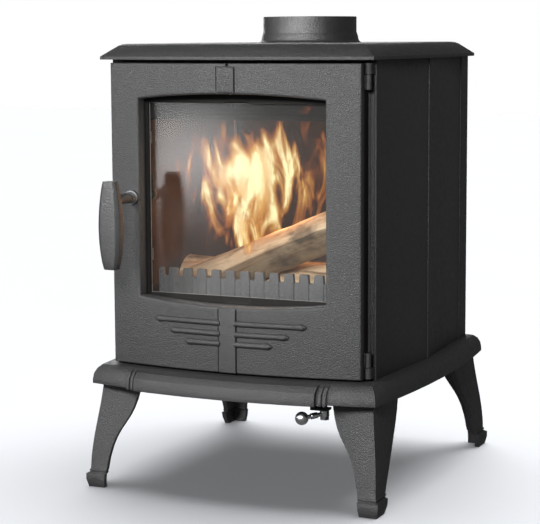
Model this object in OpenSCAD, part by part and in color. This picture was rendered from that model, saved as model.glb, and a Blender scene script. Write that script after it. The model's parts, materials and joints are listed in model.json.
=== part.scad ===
// Cast-iron wood burning stove: a bowed box of cast plates on four splayed legs.
// Millimetres, +Z up, the door faces -Y, the feet stand on z = 0.
// The modules are drawn about the body's own middle, then moved back by origin_shift, so that
// the origin is the middle of the whole stove's footprint, the handle included.

/* [Body] */
// Half width at the body's vertical corners
body_half_w = 214.7; // [170:0.1:270]
// Body's front corners, forward of its middle
body_front = 202.6; // [160:0.1:260]
// Body's rear corners, behind its middle
body_back = 220; // [180:1:280]
// Height of the body, from the base plate to the top plate
body_h = 465.5; // [380:0.5:600]
// Thickness of the cast side, back and front plates
wall = 8; // [6:0.5:11]
// How far the side panels are folded outward at their middle
side_fold = 11.3; // [4:0.1:20]
// Distance from the rear corner to the side's rear fold line
rear_strip = 38; // [20:1:60]
// Radius of the raised bead along each fold
fold_bead_r = 2.2; // [1:0.1:4]

/* [Base plate] */
// Ground clearance under the base plate's rim
ground_clearance = 162; // [120:1:210]
// Height of the flared skirt, rim to floor of the body
skirt_h = 30; // [22:1:45]
// Height of the straight rim at the bottom of the skirt
skirt_lip_h = 6; // [3:0.5:10]
// Sideways flare of the skirt
skirt_out_side = 17; // [8:0.5:30]
// Forward and backward flare of the skirt
skirt_out_front = 22.5; // [10:0.5:35]
// Bow of the skirt's front rim
skirt_bow_front = 30; // [10:1:40]
// Bow of the skirt's side rims
skirt_bow_side = 17; // [6:1:28]
// Thickness of the base plate
base_wall = 8; // [6:0.5:10]
// Thickness of the skirt
skirt_wall = 7; // [5:0.5:9]
// Half length of the raised centre panel on the skirt's front
skirt_panel_half = 148; // [100:1:170]
// How far that panel stands forward
skirt_panel_out = 8; // [3:0.5:12]

/* [Legs] */
// Thickness of the leg's two plates
leg_wall = 8; // [6:0.5:11]
// Width of the foot, along the front and along the side
foot_w = 25; // [18:0.5:40]
// Outward splay of the leg, across the stove
leg_splay_x = 13; // [4:0.5:25]
// Outward splay of the leg, front to back
leg_splay_y = 24; // [8:0.5:36]
// Radius of the leg bolts
leg_bolt_r = 4.9; // [3:0.1:5.5]

/* [Top plate] */
// Height of the top plate's edge
top_lip_h = 4.5; // [3:0.5:10]
// Height of the top plate's sloping rim
top_slope_h = 19; // [10:0.5:30]
// Overhang of the top plate past the body's sides
top_over_side = 7.3; // [4:0.1:20]
// Overhang of the top plate past the body's front corners
top_over_front = 27.9; // [24:0.1:50]
// Overhang of the top plate past the back
top_over_back = 10.5; // [4:0.5:20]
// Sideways run of the slope
top_slope_w = 29.2; // [15:0.1:45]

/* [Flue collar] */
// Outside radius of the spigot that the flue pipe fits over
flue_r = 75; // [60:0.5:80]
// Wall of the collar
flue_wall = 6; // [4:0.5:9]
// Straight length of the spigot
flue_straight = 24; // [18:1:60]
// Flue centre, behind the body's middle
flue_y = 60.5; // [40:0.5:80]

/* [Door] */
// Half width of the door
door_half_w = 203.8; // [160:0.1:250]
// Gap above the door, under the top plate
door_top_gap = 4.8; // [3:0.1:8]
// Gap under the door
door_gap = 3.2; // [2:0.1:5]
// Distance from the body's front to the door's side edges
door_depth = 29.3; // [26:0.1:36]
// Bow of the door
door_bow = 22; // [10:0.5:30]
// Wall of the door casting
door_wall = 7; // [5:0.5:9]
// Half width of the window
window_half_w = 152; // [110:1:158]
// Height of the door above the window's sides
window_top_band = 53.5; // [40:0.5:70]
// Bottom of the window's sides, above the door's bottom edge
window_up = 107; // [90:1:140]
// Rise of the window's arched edges
window_arch = 8.5; // [3:0.5:14]
// Width of the raised strap
strap_w = 27.7; // [16:0.1:40]
// How far the strap stands proud
strap_out = 1.6; // [0.8:0.1:4]
// Radius of the three ribs on each side of the strap
rib_r = 4.5; // [2.5:0.5:6]
// Thickness of the glass
glass_t = 4; // [3:0.5:5]

/* [Hinge and handle] */
// Radius of the hinge pins
hinge_pin_r = 3; // [2:0.1:3.4]
// Radial clearance of a pin or shaft that turns
run_clear = 0.05; // [0.02:0.01:0.1]
// Handle shaft, distance left of the middle
handle_x = 163; // [120:1:168]
// Handle shaft, height above the door's bottom edge
handle_up = 256; // [180:1:300]
// Radius of the handle shaft
shaft_r = 6; // [4:0.5:7]
// Length of the grip
grip_l = 131; // [90:1:170]
// Widest part of the grip
grip_w = 37; // [26:1:44]
// Thickness of the grip
grip_t = 22; // [16:1:28]
// Distance from the body's front to the grip's front face
grip_reach = 119.4; // [100:0.1:140]

/* [Air control] */
// Radius of the ball knob
knob_r = 10; // [7:0.5:13]
// Radius of the air inlet in the base plate
air_inlet_r = 13; // [8:0.5:16]
// Radius of the air control's spindle
spindle_r = 4; // [3:0.5:5]

/* [Firebox] */
// Thickness of the liner plates
liner_t = 12; // [8:1:20]
// Height of the fire bed above the base plate
bed_up = 58; // [50:1:80]
// Thickness of the fire bed and grate
bed_t = 8; // [6:1:12]
// Height of the log fence
fence_h = 78; // [50:1:100]
// Distance between the log fence's teeth
tooth_pitch = 24.5; // [18:0.5:32]
// Depth of the notches between the teeth
tooth_h = 13; // [6:1:18]

/* [Hidden] */

iron = [0.27, 0.275, 0.28];
dark_iron = [0.12, 0.12, 0.125];
steel = [0.55, 0.56, 0.58];
chrome = [0.85, 0.86, 0.88];

round_fn = 96;
bow_fn = 720;
bow_steps = 8;
eps = 0.01;

// Heights
rim_z = ground_clearance;
floor_z = rim_z + skirt_h;
body_top = floor_z + body_h;
door_z = floor_z + door_gap;
door_h = body_h - door_gap - door_top_gap;
handle_z = door_z + handle_up;
bed_z = floor_z + bed_up;
bed_top = bed_z + bed_t;

// Depths
frame_front = -body_front;
frame_back = frame_front + 10;
door_edge = body_front + door_depth;
door_back = frame_front - 3.4;
grip_front = body_front + grip_reach;
skirt_front = body_front + 25.4;
skirt_back = body_back + 8;
skirt_half_w = body_half_w + 1.3;
toe_out = 5.5;
rear_reach = max(skirt_back + skirt_out_front, skirt_back + 4 + leg_splay_y + toe_out);
origin_shift = (grip_front - rear_reach) / 2;

module placed() translate([0, origin_shift, 0]) children();

// ---- outlines shared by several pieces ----

// Radius of an arc through both ends of a chord, raised by bow at its middle
function arc_r(half, bow) = (half * half + bow * bow) / (2 * bow);

// Closed outline, seen from above: bowed front and sides, straight back
function bowed_ring(half_w, front, back, bow_side, bow_front, z) = concat(
  [for (i = [0:bow_steps - 1]) let (s = 2 * i / bow_steps - 1)
    [s * half_w, -front - bow_front * (1 - s * s), z]],
  [for (i = [0:bow_steps - 1]) let (t = i / bow_steps, s = 2 * t - 1)
    [half_w + bow_side * (1 - s * s), -front + (front + back) * t, z]],
  [[half_w, back, z]],
  [for (i = [0:bow_steps - 1]) let (t = i / bow_steps, s = 2 * t - 1)
    [-half_w - bow_side * (1 - s * s), back - (front + back) * t, z]]
);

// Closed solid through a list of rings that have the same number of points
module loft(rings) {
  m = len(rings[0]);
  last = len(rings) - 1;
  polyhedron(
    points = [for (ring = rings) each ring],
    faces = concat(
      [[for (i = [0:m - 1]) i]],
      [for (k = [0:last - 1], i = [0:m - 1]) let (a = k * m + i, b = k * m + (i + 1) % m)
        each [[a, a + m, b + m], [a, b + m, b]]],
      [[for (i = [m - 1:-1:0]) last * m + i]]
    ),
    convexity = 6
  );
}

// Cubic curve through its first and last point
function bezier(p, t) = pow(1 - t, 3) * p[0] + 3 * t * pow(1 - t, 2) * p[1]
  + 3 * t * t * (1 - t) * p[2] + pow(t, 3) * p[3];
function curve(p, n) = [for (i = [0:n]) bezier(p, i / n)];

module rod(r, h) cylinder(r = r, h = h, $fn = round_fn);
module rod_y(r, y0, y1) translate([0, y1, 0]) rotate([90, 0, 0]) rod(r, y1 - y0);
module hex_nut(across, bore_r, h) difference() {
  cylinder(r = across / sqrt(3), h = h, $fn = 6);
  translate([0, 0, -eps]) rod(bore_r, h + 2 * eps);
}
// Box from its lowest to its highest corner
module block(low, high) translate(low) cube(high - low);

// ---- base plate ----

// phi runs from 0 at the body's foot to 90 degrees at the rim of the quarter-round flare
function skirt_z(phi) = floor_z - (skirt_h - skirt_lip_h) * (1 - cos(phi));
function skirt_ring(phi, inset, z) = bowed_ring(
  skirt_half_w + skirt_out_side * sin(phi) - inset,
  skirt_front + skirt_out_front * sin(phi) - inset,
  skirt_back + skirt_out_front * sin(phi) - inset,
  side_fold + (skirt_bow_side - side_fold) * sin(phi),
  door_bow + (skirt_bow_front - door_bow) * sin(phi), z);
skirt_phis = [0, 22.5, 45, 67.5, 90];

// The skirt's own shape grown outward by out, between x0 and x1 on the front
module skirt_strip(x0, x1, out) intersection() {
  loft([skirt_ring(90, -out, rim_z - 1), skirt_ring(90, -out, skirt_z(90)),
    skirt_ring(67.5, -out * 0.95, skirt_z(67.5) + out * 0.3),
    skirt_ring(45, -out * 0.6, skirt_z(45) + out * 0.35),
    skirt_ring(22.5, 0.6, skirt_z(22.5))]);
  block([x0, -400, rim_z - 2], [x1, -body_front, floor_z - 0.5]);
}

leg_top = rim_z + 14;
pad_in_x = skirt_half_w - 56;
pad_l = 78;
leg_bolt_places = [[skirt_half_w - 42, -34], [skirt_half_w - 17, -18]];
tie_place = [skirt_half_w - 21.3, -47.4];
module at_each_corner() for (sx = [-1, 1], rear = [0, 1])
  mirror([sx < 0 ? 1 : 0, 0, 0]) mirror([0, rear ? 0 : 1, 0])
    translate([0, (rear ? skirt_back : skirt_front), 0]) children();

tie_r = 4;
bolt_clear = 0.3;
module at_tie_rods() at_each_corner() translate([tie_place[0], tie_place[1], 0]) children();

spindle_x = skirt_half_w - 71;
spindle_y = -skirt_front;
inlet_reach = 42;
inlet_turn = 100;
inlet_x = spindle_x + inlet_reach * cos(inlet_turn);
inlet_y = spindle_y + inlet_reach * sin(inlet_turn);
bracket_screw_x = spindle_x - 17;
bracket_screw_y = spindle_y - 2;
bracket_screw_r = 2.5;

// Two narrow raised bands beside each end of the front panel
skirt_bead_places = [6.25, 13.25];
skirt_bead_w = 4.5;

module base_plate() color(iron) placed() difference() {
  union() {
    difference() {
      union() {
        loft(concat([skirt_ring(90, 0, rim_z)],
          [for (i = [len(skirt_phis) - 1:-1:0]) skirt_ring(skirt_phis[i], 0, skirt_z(skirt_phis[i]))]));
        skirt_strip(-skirt_panel_half, skirt_panel_half, skirt_panel_out);
        for (side = [-1, 1], out = skirt_bead_places) let (x = side * (skirt_panel_half + out))
          skirt_strip(x - skirt_bead_w / 2, x + skirt_bead_w / 2, skirt_panel_out / 2);
      }
      loft(concat([skirt_ring(90, skirt_wall, rim_z - 2)],
        [for (i = [len(skirt_phis) - 1:-1:0]) let (phi = skirt_phis[i])
          skirt_ring(phi, skirt_wall * sin(phi), skirt_z(phi) - base_wall * cos(phi))]));
    }
    // pads that the legs bolt to
    at_each_corner() block([pad_in_x, -pad_l, leg_top], [skirt_half_w, -10, floor_z - 4]);
  }
  at_each_corner() for (p = leg_bolt_places)
    translate([p[0], p[1], rim_z]) rod(leg_bolt_r + bolt_clear, skirt_h + 1);
  at_tie_rods() translate([0, 0, rim_z]) rod(tie_r + bolt_clear, skirt_h + 1);
  translate([inlet_x, inlet_y, rim_z]) rod(air_inlet_r, skirt_h + 1);
  translate([bracket_screw_x, bracket_screw_y, rim_z]) rod(bracket_screw_r + 0.2, skirt_h + 1);
}

// ---- legs ----

// Corner line of the leg across the stove, and the same line front to back: [offset, height]
toe_z = 28;
function corner_line(splay, bend) = concat(
  curve([[0, leg_top], [1, leg_top * bend[0]], [splay - 1, leg_top * bend[1]], [splay, toe_z]], 9),
  [[splay + 1.4, toe_z - 1], [splay + 1.4, toe_z - 3.5], [splay, toe_z - 4.5], [splay + toe_out, toe_z - 7],
   [splay + toe_out, 12], [splay + toe_out - 3, 0]]);
// Shares of the leg's height at which the corner line turns out and comes upright again
bend_x = [0.69, 0.53];
bend_y = [0.81, 0.36];
// Inner edge of a plate: full under the skirt, then drawn in to the foot.
// swell and neck are [distance past the straight line, share of the leg's height]
function inner_line(top_w, swell, neck, foot, splay) = curve([
  [-top_w, leg_top], [-top_w + swell[0], leg_top * swell[1]],
  [splay - foot - neck[0], leg_top * neck[1]], [splay - foot, 0]], 12);
front_plate = [65.3, [10.6, 0.447], [8.8, 0.69], foot_w];
side_plate = [101.5, [-9, 0.70], [25, 0.51], foot_w * 1.2];
function reversed(p) = [for (i = [len(p) - 1:-1:0]) p[i]];
function shifted(p, d) = [for (q = p) [q[0] + d, q[1]]];

module leg_plate_outline(p, splay, bend) polygon(concat(inner_line(p[0], p[1], p[2], p[3], splay),
  reversed(corner_line(splay, bend))));
module leg_band_outline(splay, bend) polygon(concat(shifted(corner_line(splay, bend), -leg_wall),
  reversed(corner_line(splay, bend))));
// An outline in (x, z), pulled along y, and an outline in (y, z), pulled along x
module along_y(l) translate([0, 60, 0]) rotate([90, 0, 0]) linear_extrude(l) children();
module along_x(l) translate([-l + 60, 0, 0]) rotate([90, 0, 90]) linear_extrude(l) children();

leg_corner_x = skirt_half_w + 7;
leg_corner_y = 4;
leg_flange_t = 7;

// Leg of the right rear corner, in the corner's own place
module leg_casting() difference() {
  translate([leg_corner_x, leg_corner_y, 0]) union() {
    // plate across the stove
    intersection() {
      along_y(200) leg_plate_outline(front_plate, leg_splay_x, bend_x);
      along_x(260) leg_band_outline(leg_splay_y, bend_y);
    }
    // plate front to back
    intersection() {
      along_x(260) leg_plate_outline(side_plate, leg_splay_y, bend_y);
      along_y(260) leg_band_outline(leg_splay_x, bend_x);
    }
    block([-60, -pad_l, leg_top - leg_flange_t], [-leg_wall + 1, -leg_wall + 1, leg_top]);
  }
  for (p = leg_bolt_places) translate([p[0], p[1], rim_z - 10]) rod(leg_bolt_r + bolt_clear, skirt_h + 11);
  translate([tie_place[0], tie_place[1], rim_z - 10]) rod(tie_r + bolt_clear, skirt_h + 11);
}
module leg(left, rear) color(iron) placed() mirror([left ? 1 : 0, 0, 0]) mirror([0, rear ? 0 : 1, 0])
  translate([0, rear ? skirt_back : skirt_front, 0]) leg_casting();
module leg_front_left() leg(true, false);
module leg_front_right() leg(false, false);
module leg_rear_left() leg(true, true);
module leg_rear_right() leg(false, true);

leg_bolt_head = 6.5;
module leg_bolt() {
  translate([0, 0, leg_top - leg_flange_t - leg_bolt_head])
    cylinder(r = leg_bolt_r * 1.9, h = leg_bolt_head, $fn = 6);
  translate([0, 0, leg_top - leg_flange_t - 1]) rod(leg_bolt_r, floor_z - leg_top + leg_flange_t);
}
module leg_bolts() color(steel) placed() at_each_corner()
  for (p = leg_bolt_places) translate([p[0], p[1], 0]) leg_bolt();

// ---- body ----

side_points = [[body_half_w, -body_front], [body_half_w + side_fold, -5],
  [body_half_w, body_back - rear_strip], [body_half_w, body_back]];
module side_panel() difference() {
  union() {
    translate([0, 0, floor_z]) linear_extrude(body_h)
      polygon(concat(side_points, [for (i = [3:-1:0]) side_points[i] - [wall, 0]]));
    for (i = [1, 2]) translate([side_points[i][0] - 0.5, side_points[i][1], floor_z])
      rod(fold_bead_r, body_h);
    translate([side_points[0][0] - fold_bead_r + 1.4, side_points[0][1] + fold_bead_r - 0.6, floor_z])
      rod(fold_bead_r, body_h);
  }
  // the back panel's edge stands in this step
  block([body_half_w - wall - 1, body_back - wall, floor_z - 1],
    [body_half_w - 3.8, body_back + 1, body_top + 1]);
}
module side_panel_left() color(iron) placed() mirror([1, 0, 0]) side_panel();
module side_panel_right() color(iron) placed() side_panel();

// Raised frame: half width, distances from the floor and from the top, and its own width
back_frame = [150, 60, 90];
back_frame_w = 12;
module back_panel() color(iron) placed() {
  block([-body_half_w + 4, body_back - wall + 0.2, floor_z], [body_half_w - 4, body_back, body_top]);
  // raised frame that stiffens the casting
  difference() {
    block([-back_frame[0], body_back - eps, floor_z + back_frame[1]],
      [back_frame[0], body_back + 4, body_top - back_frame[2]]);
    block([-back_frame[0] + back_frame_w, body_back - 1, floor_z + back_frame[1] + back_frame_w],
      [back_frame[0] - back_frame_w, body_back + 5, body_top - back_frame[2] - back_frame_w]);
  }
}

// Opening of the front frame
mouth_half_w = door_half_w - 25.8;
mouth_low = door_z + 17;
mouth_high = door_z + door_h - 21;

hinge_x = door_half_w + 5.7;
hinge_y = frame_front - 14.4;
knuckle_r = 5.2;
knuckle_h = 22;
lug_h = 15.5;
lug_low_z = door_z + 1.3;
lug_high_z = door_z + door_h - lug_h;

module hinge_lug(z) difference() {
  translate([0, 0, z]) union() {
    translate([hinge_x, hinge_y, 0]) rod(knuckle_r, lug_h);
    block([hinge_x - 4.9, hinge_y, 0], [hinge_x + 4.9, frame_front - 0.8, lug_h]);
    block([hinge_x - 4.9, hinge_y, 0], [body_half_w - wall - 0.4, frame_front + 1, lug_h]);
  }
  translate([hinge_x, hinge_y, z - 1]) rod(hinge_pin_r + run_clear, lug_h + 2);
}

keeper_screw_z = [-16, 16];
keeper_x = -mouth_half_w - 8;
keeper_r = 2.5;
module at_keeper_screws() for (dz = keeper_screw_z) translate([keeper_x, 0, handle_z + dz]) children();

module front_frame() color(dark_iron) placed() {
  difference() {
    block([-body_half_w + wall + 0.2, frame_front, floor_z],
      [body_half_w - wall - 0.2, frame_back, body_top]);
    block([-mouth_half_w, frame_front - 1, mouth_low], [mouth_half_w, frame_back + 1, mouth_high]);
    at_keeper_screws() rod_y(keeper_r + 0.1, frame_front + 3, frame_back + 1);
  }
  hinge_lug(lug_low_z);
  hinge_lug(lug_high_z);
}

rod_low = leg_top - leg_flange_t - 10;
module tie_rods() color(steel) placed() at_tie_rods()
  translate([0, 0, rod_low]) rod(tie_r, body_top + 13 - rod_low);
module tie_rod_nuts() color(steel) placed() at_tie_rods()
  translate([0, 0, leg_top - leg_flange_t - 6.8]) hex_nut(13, tie_r + 0.05, 6.8);

// ---- top plate and flue ----

top_z = body_top + top_lip_h + top_slope_h;
top_half_w = body_half_w + top_over_side;
top_front = body_front + top_over_front;
top_back = body_back + top_over_back;
top_wall = 9;
top_bow_front = door_bow + 4;
flue_in_r = flue_r - flue_wall;
collar_bolt_pcd_r = flue_in_r + 24;
collar_bolt_r = 3;
function top_ring(inset, z) = bowed_ring(top_half_w - inset, top_front - inset, top_back - inset,
  side_fold + 1, top_bow_front, z);
// Shares of the slope's width and height: straight, then rounded over into the flat top
top_profile = [[0, 0], [0.7, 0.84], [0.86, 0.955], [1.05, 1]];
module bolt_circle() for (a = [45:90:315]) rotate(a) translate([collar_bolt_pcd_r, 0, 0]) children();
module at_collar_bolts() translate([0, flue_y, 0]) bolt_circle() children();

module top_plate() color(iron) placed() difference() {
  union() {
    difference() {
      loft(concat([top_ring(0, body_top)],
        [for (p = top_profile) top_ring(p[0] * top_slope_w, body_top + top_lip_h + p[1] * top_slope_h)]));
      loft([top_ring(top_slope_w + 10, body_top - 1), top_ring(top_slope_w + 16, top_z - top_wall)]);
    }
    at_tie_rods() translate([0, 0, body_top]) rod(9, top_z - body_top - top_wall + 1);
  }
  at_tie_rods() translate([0, 0, body_top - 1]) rod(tie_r + 0.05, 14.5);
  translate([0, flue_y, body_top]) rod(flue_in_r + 13, top_slope_h + top_lip_h + 1);
  at_collar_bolts() translate([0, 0, top_z - top_wall - 5]) rod(collar_bolt_r - 0.4, top_wall + 0.6);
}

// Collar: flange under the plate, a foot through its hole, and a spigot that narrows to size
module flue_collar() color(iron) placed() translate([0, flue_y, 0]) difference() {
  flange_z = top_z - top_wall - 6;
  foot_r = flue_r + 3;
  rotate_extrude($fn = 180) polygon([
    [flue_in_r, flange_z], [flue_in_r + 32, flange_z], [flue_in_r + 32, flange_z + 5.8],
    [flue_in_r + 12.8, flange_z + 5.8], [flue_in_r + 12.8, top_z + 0.5], [foot_r + 1, top_z + 3],
    [foot_r, top_z + 6], [foot_r - 0.6, top_z + 10], [flue_r, top_z + 17],
    [flue_r, top_z + 17 + flue_straight], [flue_in_r, top_z + 17 + flue_straight]]);
  bolt_circle() translate([0, 0, flange_z - 1]) rod(collar_bolt_r + bolt_clear, 8);
}
module flue_collar_bolts() color(steel) placed() at_collar_bolts() {
  translate([0, 0, top_z - top_wall - 10.2]) cylinder(r = 5.6, h = 4.2, $fn = 6);
  translate([0, 0, top_z - top_wall - 7]) rod(collar_bolt_r - 0.45, 11);
}

// ---- door ----

door_r = arc_r(door_half_w, door_bow);
door_arc_y = -(door_edge + door_bow) + door_r;
window_low = door_z + window_up;
window_high = door_z + door_h - window_top_band;
flange_y = frame_front - 15.4;
glass_front = flange_y + 4 + 1.5;
rebate_half_w = window_half_w - 5;
rebate_low = window_low + 2;
rebate_high = window_high - 6;

// Seen from above: the space between the door's bowed face, moved in by inset, and its back
module door_plan(inset, back) intersection() {
  translate([0, door_arc_y]) circle(r = door_r - inset, $fn = bow_fn);
  translate([-door_half_w + inset, -door_edge - door_bow - 5])
    square([2 * (door_half_w - inset), door_edge + door_bow + 5 + back]);
}
// Box as wide and high as the door, moved in by inset on all four sides
module door_inset(inset, y0, y1)
  block([-door_half_w + inset, y0, door_z + inset], [door_half_w - inset, y1, door_z + door_h - inset]);
// Window outline in (x, z), grown all round
module window_outline(grow) intersection() {
  half = window_half_w + grow;
  low = window_low - window_arch - grow;
  high = window_high + window_arch + grow;
  translate([-half, low]) square([2 * half, high - low]);
  translate([0, high - arc_r(window_half_w, window_arch) - grow])
    circle(r = arc_r(window_half_w, window_arch) + grow, $fn = bow_fn);
  translate([0, low + arc_r(window_half_w, window_arch) + grow])
    circle(r = arc_r(window_half_w, window_arch) + grow, $fn = bow_fn);
}
module window_prism(grow, y0, y1) translate([0, y1, 0]) rotate([90, 0, 0])
  linear_extrude(y1 - y0) window_outline(grow);
function door_face(x) = -(door_edge + door_bow * (1 - pow(x / door_half_w, 2)));

rib_places = [[75, 111], [59, 84], [44, 58]];
rib_tip_l = 12;
rib_tip_r = 1.5;
module door_ribs() for (side = [0, 1]) mirror([side, 0, 0]) for (p = rib_places) {
  x0 = strap_w / 2 - 1;
  x1 = strap_w / 2 + p[1];
  y0 = door_face(x0);
  y1 = door_face(x1);
  run = norm([x1 - x0, y1 - y0]) - rib_tip_l;
  translate([x0, y0, door_z + p[0]]) rotate([0, 90, atan2(y1 - y0, x1 - x0)]) {
    rod(rib_r, run);
    translate([0, 0, run]) cylinder(r1 = rib_r, r2 = rib_tip_r, h = rib_tip_l, $fn = round_fn);
  }
}

// Fine groove cast along each side of the strap
strap_groove = 2;
strap_groove_depth = 1.6;
module strap_grooves() for (x = [-strap_w / 2 - strap_groove, strap_w / 2])
  translate([0, 0, door_z - 1]) linear_extrude(door_h + 2) difference() {
    translate([x, -400]) square([strap_groove, 200]);
    door_plan(strap_groove_depth, 0);
  }

pin_l = 34;
pin_grip = 17;
boss_r = 9.5;

module door() color(iron) placed() difference() {
  union() {
    difference() {
      translate([0, 0, door_z]) linear_extrude(door_h) door_plan(0, door_back);
      translate([0, 0, door_z + door_wall]) linear_extrude(door_h - 2 * door_wall)
        door_plan(door_wall, door_back + 1);
    }
    // reveal round the window and the flange that the glass bears on
    intersection() {
      translate([0, 0, door_z]) linear_extrude(door_h) door_plan(2, flange_y + 4);
      window_prism(6, -door_edge - door_bow, flange_y + 4);
    }
    // ledge that carries the rope seal
    difference() {
      door_inset(3, frame_front - 10.4, frame_front - 7);
      door_inset(22, frame_front - 12, frame_front);
    }
    // strap from the top edge to the bottom edge
    intersection() {
      translate([0, 0, door_z]) linear_extrude(door_h) intersection() {
        door_plan(-strap_out, flange_y);
        translate([-strap_w / 2, -400]) square([strap_w, 600]);
      }
      block([-50, -400, door_z], [50, door_face(0) + 3, door_z + door_h - 4]);
    }
    door_ribs();
    // knuckles beside the frame's lugs, joined to the door's side
    for (z = [lug_low_z + lug_h + 0.6, lug_high_z - 0.6 - knuckle_h]) {
      translate([hinge_x, hinge_y, z]) rod(knuckle_r - 0.2, knuckle_h);
      block([door_half_w - 3, hinge_y - 3, z], [hinge_x, hinge_y + 3, z + knuckle_h]);
    }
    // bosses round the handle shaft
    translate([-handle_x, 0, handle_z]) rod_y(boss_r, door_face(handle_x) - 6, door_back);
  }
  window_prism(0, -door_edge - door_bow - 10, flange_y);
  block([-rebate_half_w, flange_y - 1, rebate_low], [rebate_half_w, flange_y + 10, rebate_high]);
  translate([-handle_x, 0, handle_z]) rod_y(shaft_r + run_clear, -door_edge - 50, door_back + 5);
  // blind holes for the hinge pins
  translate([hinge_x, hinge_y, lug_high_z - pin_grip - 0.6]) rod(hinge_pin_r, pin_grip + 2);
  translate([hinge_x, hinge_y, lug_low_z + lug_h - 1]) rod(hinge_pin_r, pin_grip + 1);
  for (p = clip_places) translate([p[0], 0, p[1]]) rod_y(clip_screw_r, flange_y + 1.5, flange_y + 6);
  strap_grooves();
  // notch in the top edge, over the strap
  block([0, -400, door_z + door_h - 4], [strap_w / 2, door_face(strap_w / 2) + 4, door_z + door_h + 1]);
}

module door_glass() color([0.5, 0.55, 0.55, 0.35]) placed()
  block([-glass_half_w, glass_front, glass_low], [glass_half_w, glass_front + glass_t, glass_high]);
glass_half_w = window_half_w + 1;
glass_low = rebate_low - 4.5;
glass_high = rebate_high + 4.5;

// Flat gasket between the flange and the glass
module glass_gasket() color([0.2, 0.2, 0.2]) placed() difference() {
  block([-glass_half_w, flange_y + 4, glass_low], [glass_half_w, glass_front, glass_high]);
  block([-rebate_half_w + 0.5, flange_y, rebate_low + 0.5],
    [rebate_half_w - 0.5, glass_front + 1, rebate_high - 0.5]);
}

// Four clips press the glass on its gasket; each is a strip with a screw outside the glass
clip_screw_r = 1.9;
clip_out = 3.2;
clip_inset = 0.2 * (window_high - window_low);
clip_half_h = 9;
// How far a clip reaches inward from its screw, over the glass, and outward
clip_reach = 8;
clip_tail = 5;
clip_places = [for (sx = [-1, 1], z = [window_low + clip_inset, window_high - clip_inset])
  [sx * (window_half_w + clip_out), z]];
// One clip on the right of the glass, about its own screw
module glass_clip() {
  block([-clip_reach, glass_front + glass_t, -clip_half_h],
    [clip_tail, glass_front + glass_t + 1.5, clip_half_h]);
  block([-2, flange_y + 4, -clip_half_h], [clip_tail, glass_front + glass_t + 1, clip_half_h]);
}
module glass_clips() color(steel) placed() for (p = clip_places) difference() {
  translate([p[0], 0, p[1]]) mirror([p[0] > 0 ? 0 : 1, 0, 0]) glass_clip();
  translate([p[0], 0, p[1]]) rod_y(clip_screw_r + 0.15, flange_y, glass_front + glass_t + 5);
}
module glass_clip_screws() color(steel) placed() for (p = clip_places) translate([p[0], 0, p[1]]) {
  rod_y(clip_screw_r - 0.05, flange_y + 1.6, glass_front + glass_t + 2);
  rod_y(3.6, glass_front + glass_t + 1.5, glass_front + glass_t + 4);
}

// Rope seal in the door's edge, just short of the frame's face
module door_seal_rope() color([0.75, 0.75, 0.72]) placed() difference() {
  door_inset(8.5, frame_front - 7, frame_front - 0.4);
  door_inset(18.5, frame_front - 8, frame_front);
}

module hinge_pin(z) color(steel) placed() translate([hinge_x, hinge_y, z]) rod(hinge_pin_r, pin_l - 1.4);
module hinge_pin_upper() hinge_pin(lug_high_z - pin_grip - 0.6 + 0.2);
module hinge_pin_lower() hinge_pin(lug_low_z + lug_h + pin_grip - pin_l + 1.2);

// ---- handle and latch ----

grip_back = -(grip_front - grip_t);
shaft_in = frame_back + 9;
collar_out = door_face(handle_x) - 6;

neck_r = 7.6;
module handle_shaft() color(iron) placed() translate([-handle_x, 0, handle_z]) {
  rod_y(shaft_r, grip_back - 9, shaft_in + 7);
  rod_y(shaft_r + 1.4, grip_back + 0.05, collar_out - 2.4);
  rod_y(shaft_r + 2.6, collar_out - 9, collar_out - 2.4);
  rod_y(neck_r, collar_out - 27, collar_out - 13);
}
module handle_washer() color(steel) placed() translate([-handle_x, 0, handle_z]) difference() {
  rod_y(boss_r + 1, collar_out - 2.2, collar_out - 0.4);
  rod_y(shaft_r + 0.02, collar_out - 3, collar_out + 1);
}

// Half widths of the grip at heights from its lower end, with its corners cut
grip_low_z = handle_z - 0.776 * grip_l;
function grip_half(t) = (grip_w / 2) * (0.56 + 0.44 * pow(sin(180 * pow(t, 0.9)), 0.75));
function grip_ring(t) = let (
    w = grip_half(t), thin = (1 - sin(180 * t)) * 3, front = -grip_front + thin, back = grip_back - thin,
    cut = w * 0.34, z = grip_low_z + grip_l * t)
  [[-w + cut, front, z], [w - cut, front, z], [w, front + cut, z], [w, back - cut * 0.8, z],
   [w - cut, back, z], [-w + cut, back, z], [-w, back - cut * 0.8, z], [-w, front + cut, z]];
module handle_grip() color(iron) placed() difference() {
  translate([-handle_x + 1, 0, 0]) loft([for (i = [0:12]) grip_ring(i / 12)]);
  translate([-handle_x, 0, handle_z]) rod_y(shaft_r, grip_back - 9.2, grip_back + 5);
}

// The cam is drawn clear of its keeper, so that door and handle can each turn alone
cam_t = 6;
module latch_cam() color(dark_iron) placed() translate([-handle_x, 0, handle_z]) difference() {
  union() {
    rod_y(shaft_r + 3, shaft_in - cam_t, shaft_in);
    block([-7, shaft_in - cam_t, 0], [7, shaft_in, 30]);
  }
  rod_y(shaft_r, shaft_in - cam_t - 1, shaft_in + 1);
}
module latch_nut() color(steel) placed() translate([-handle_x, shaft_in + 5.2, handle_z]) rotate([90, 0, 0])
  hex_nut(16, shaft_r, 5);

module latch_keeper() color(steel) placed() difference() {
  block([keeper_x - 7, frame_back, handle_z - 26], [keeper_x + 7, frame_back + 3, handle_z + 26]);
  at_keeper_screws() rod_y(keeper_r + 0.2, frame_back - 1, frame_back + 4);
}
module latch_keeper_screws() color(steel) placed() at_keeper_screws() {
  rod_y(keeper_r, frame_back - 6, frame_back + 3.5);
  rod_y(4.2, frame_back + 3, frame_back + 5.4);
}

// ---- air control ----

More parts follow.
